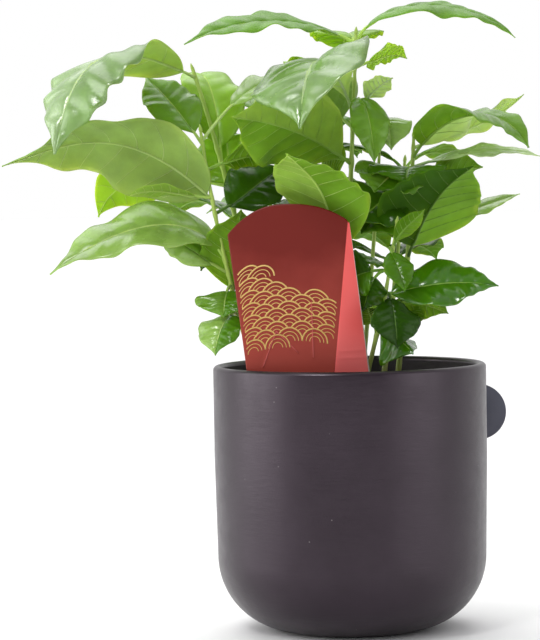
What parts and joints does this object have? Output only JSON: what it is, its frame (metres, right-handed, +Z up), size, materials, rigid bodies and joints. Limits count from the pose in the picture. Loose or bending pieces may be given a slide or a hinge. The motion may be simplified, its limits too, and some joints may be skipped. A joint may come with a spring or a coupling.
{
  "type": "potted coffee plant",
  "caption": "Young coffee seedlings with glossy, pointed leaves in a round dark cover pot, with a folded card label in the soil and a small round tag on the wall.",
  "frame": {"origin": "centre of the pot's flat underside", "axes": "+Z up along the pot's axis, -Y towards the side that the card label faces, +X to the right of a viewer who faces the card"},
  "size_m": [0.2731, 0.1992, 0.321],
  "materials": {
    "pot_ceramic": "matte anthracite with a fine mottle",
    "potting_soil": "crumbly potting soil",
    "printed_card": "satin printed card",
    "tag_card": "matte card",
    "young_stem": "smooth green stem",
    "coffee_leaf": "glossy leaf"
  },
  "bodies": {
    "root": {"pot": "pot_ceramic", "soil": "potting_soil", "label_card": "printed_card", "round_tag": "tag_card", "stem_left": "young_stem", "stem_left_rear": "young_stem", "stem_centre": "young_stem", "stem_centre_rear": "young_stem", "stem_right_front": "young_stem", "stem_right": "young_stem", "stem_rear_left": "young_stem", "stem_rear_right": "young_stem", "stem_rear": "young_stem", "stem_front": "young_stem", "foliage_left": "coffee_leaf", "foliage_left_rear": "coffee_leaf", "foliage_centre": "coffee_leaf", "foliage_centre_rear": "coffee_leaf", "foliage_right_front": "coffee_leaf", "foliage_right": "coffee_leaf", "foliage_rear_left": "coffee_leaf", "foliage_rear_right": "coffee_leaf", "foliage_rear": "coffee_leaf", "foliage_front": "coffee_leaf"}
  },
  "joints": []
}
